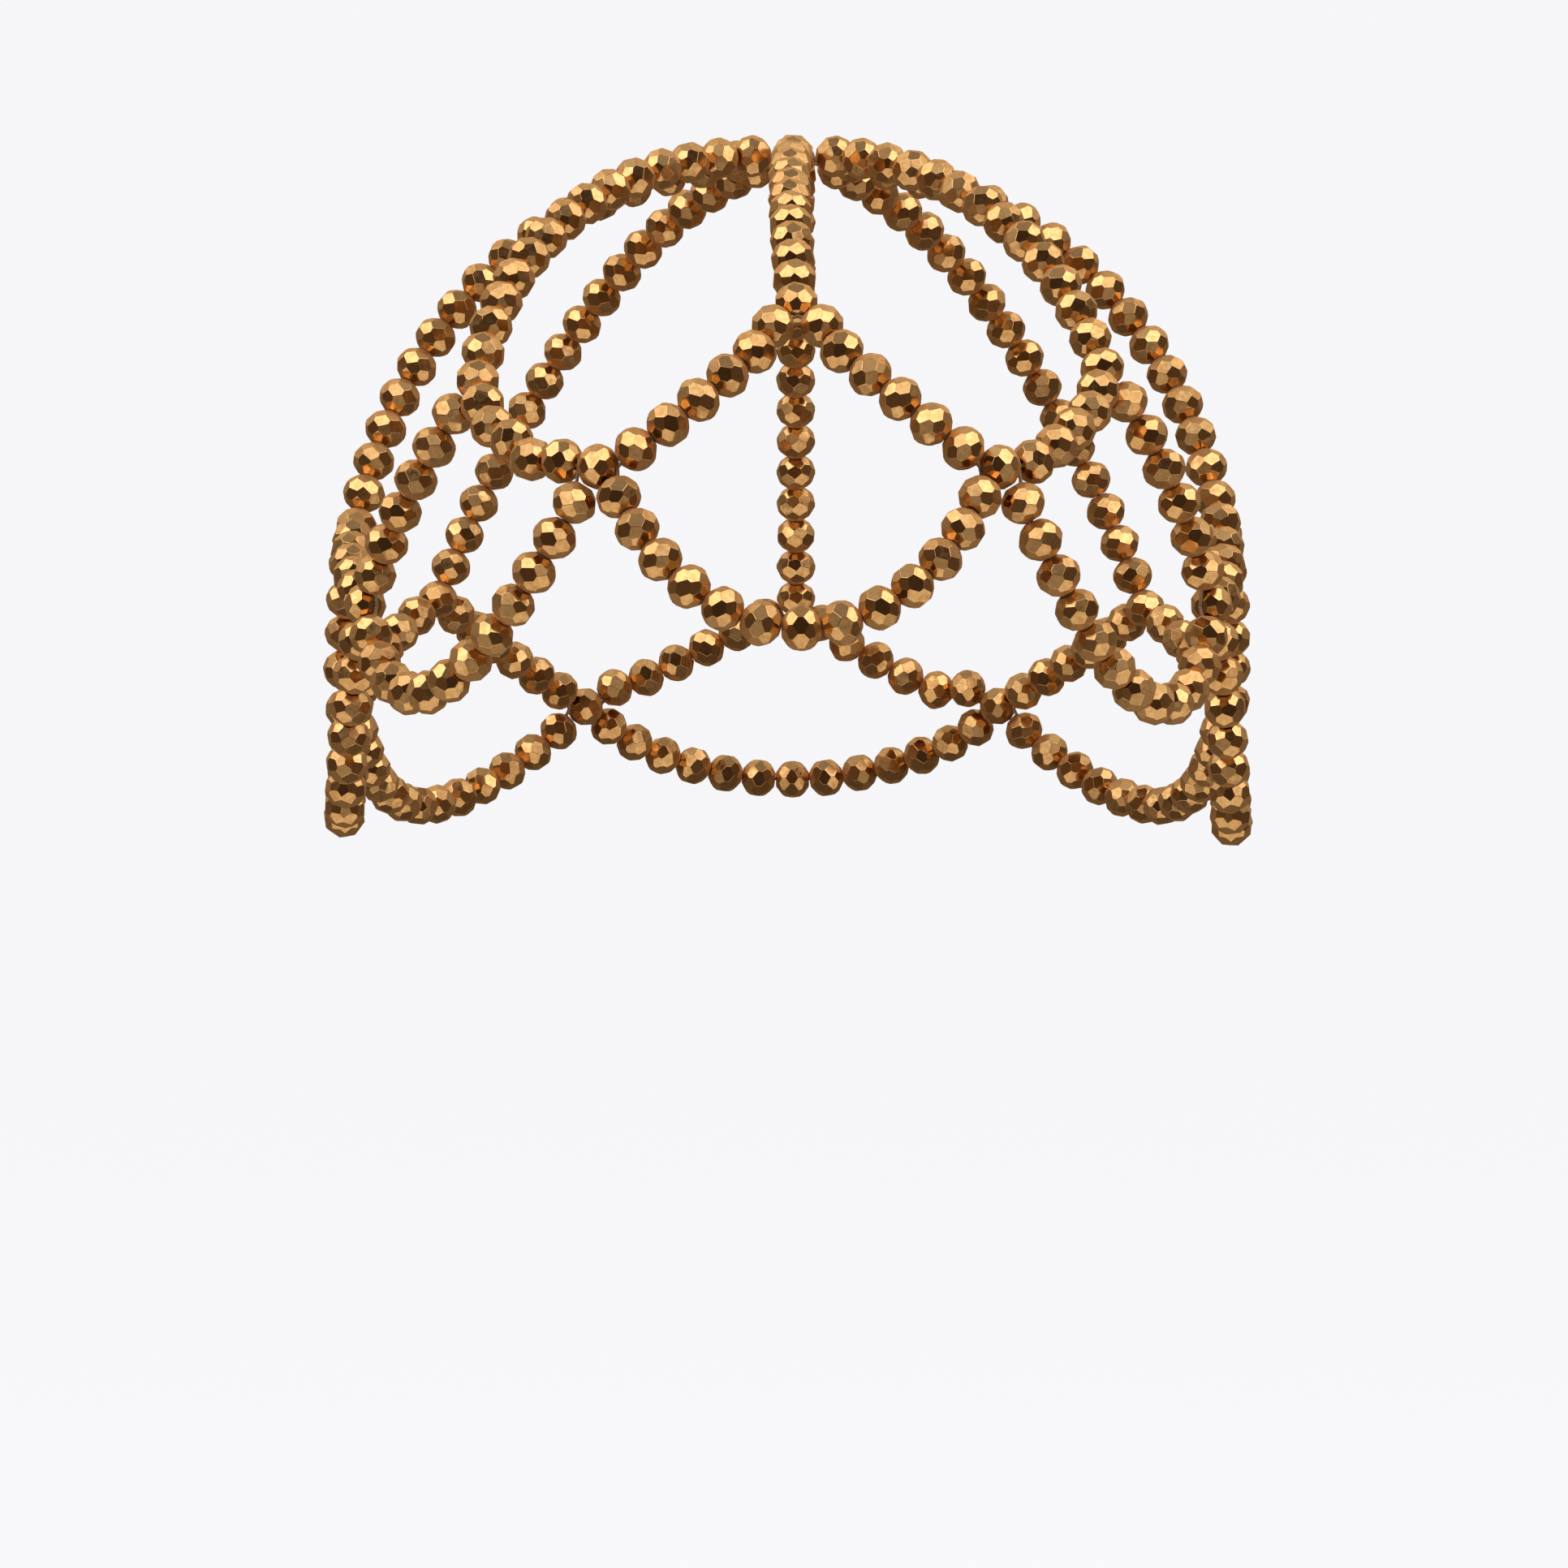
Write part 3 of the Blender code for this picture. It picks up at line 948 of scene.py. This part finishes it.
class HEADPIECE_OT_studio(bpy.types.Operator):
    """Set up the camera, the pale floor and the soft lights"""

    bl_idname = "headpiece.studio"
    bl_label = "Studio"

    def execute(self, context):
        scene, studio = context.scene, context.scene.headpiece_studio
        scene.view_settings.view_transform = "Standard"
        net = scene.headpiece_net
        centre = Vector((-net.crown_shift, -net.crown_setback, 0.0))
        turn = Matrix.Rotation(studio.yaw, 4, "Z")
        camera = bpy.data.objects.new("camera", bpy.data.cameras.new("camera"))
        camera.data.lens = studio.lens
        camera.data.sensor_width = 36.0
        stand = Vector((studio.aside, -studio.distance, studio.rise + CROWN_HEIGHT))
        camera.location = centre + turn @ stand
        look = turn @ Vector((0.0, np.cos(studio.pitch), np.sin(studio.pitch)))
        camera.rotation_euler = look.to_track_quat("-Z", "Y").to_euler()
        context.collection.objects.link(camera)
        scene.camera = camera

        points, faces = cove_surface(-studio.floor_drop, FLOOR_RADIUS, CURVE_RADIUS)
        pale = plain_material("Pale floor", studio.floor, studio.floor, studio.glow)
        studio_object("floor", points, faces, pale)
        points, faces = dome_surface(
            CURVE_RADIUS - studio.floor_drop, FLOOR_RADIUS + CURVE_RADIUS, DOME_HEIGHT
        )
        pale = plain_material("Pale backdrop", BLACK, studio.backdrop, 1.0)
        studio_object("backdrop", points, faces, pale, "glossy", "diffuse", "shadow")
        for name, setting, first, last in CARDS:
            matt = plain_material(name, BLACK, getattr(studio, setting), 1.0)
            corners = [*first, *last]
            studio_object(name, corners, [[0, 1, 2, 3]], matt, "camera", "shadow", "diffuse")
        for name, place, size, share in SOFTBOXES:
            soft_light(name, place, size, share * studio.key_power)

        world = bpy.data.worlds.new("Room")
        world.use_nodes = True
        world.node_tree.nodes["Background"].inputs["Color"].default_value = (*studio.sky, 1.0)
        scene.world = world
        return {"FINISHED"}


STEPS = (
    HEADPIECE_OT_studio,
    HEADPIECE_OT_crown,
    HEADPIECE_OT_radials,
    HEADPIECE_OT_branches,
    HEADPIECE_OT_crossings,
    HEADPIECE_OT_swags,
    HEADPIECE_OT_thread,
)
GROUPS = {
    "headpiece_net": NetSizes,
    "headpiece_bead": BeadSizes,
    "headpiece_finish": FinishColours,
    "headpiece_studio": StudioSettings,
}


class HEADPIECE_PT_panel(bpy.types.Panel):
    """Lists the steps and the settings"""

    bl_idname = "HEADPIECE_PT_panel"
    bl_label = "Beaded Headpiece"
    bl_space_type = "VIEW_3D"
    bl_region_type = "UI"
    bl_category = "Headpiece"

    def draw(self, context):
        for step in STEPS:
            self.layout.operator(step.bl_idname)
        for name, group in GROUPS.items():
            box = self.layout.box()
            box.label(text=group.__doc__)
            for field in group.__annotations__:
                box.prop(getattr(context.scene, name), field)


def register():
    for kind in (*GROUPS.values(), *STEPS, HEADPIECE_PT_panel):
        bpy.utils.register_class(kind)
    for name, group in GROUPS.items():
        setattr(bpy.types.Scene, name, bpy.props.PointerProperty(type=group))


def unregister():
    for name in GROUPS:
        delattr(bpy.types.Scene, name)
    for kind in (*GROUPS.values(), *STEPS, HEADPIECE_PT_panel):
        bpy.utils.unregister_class(kind)


def main():
    register()
    bpy.ops.headpiece.studio()
    bpy.ops.headpiece.crown()
    bpy.ops.headpiece.radials()
    bpy.ops.headpiece.branches()
    bpy.ops.headpiece.crossings()
    bpy.ops.headpiece.swags()
    bpy.ops.headpiece.thread()
    bpy.context.view_layer.update()


if __name__ == "__main__":
    main()
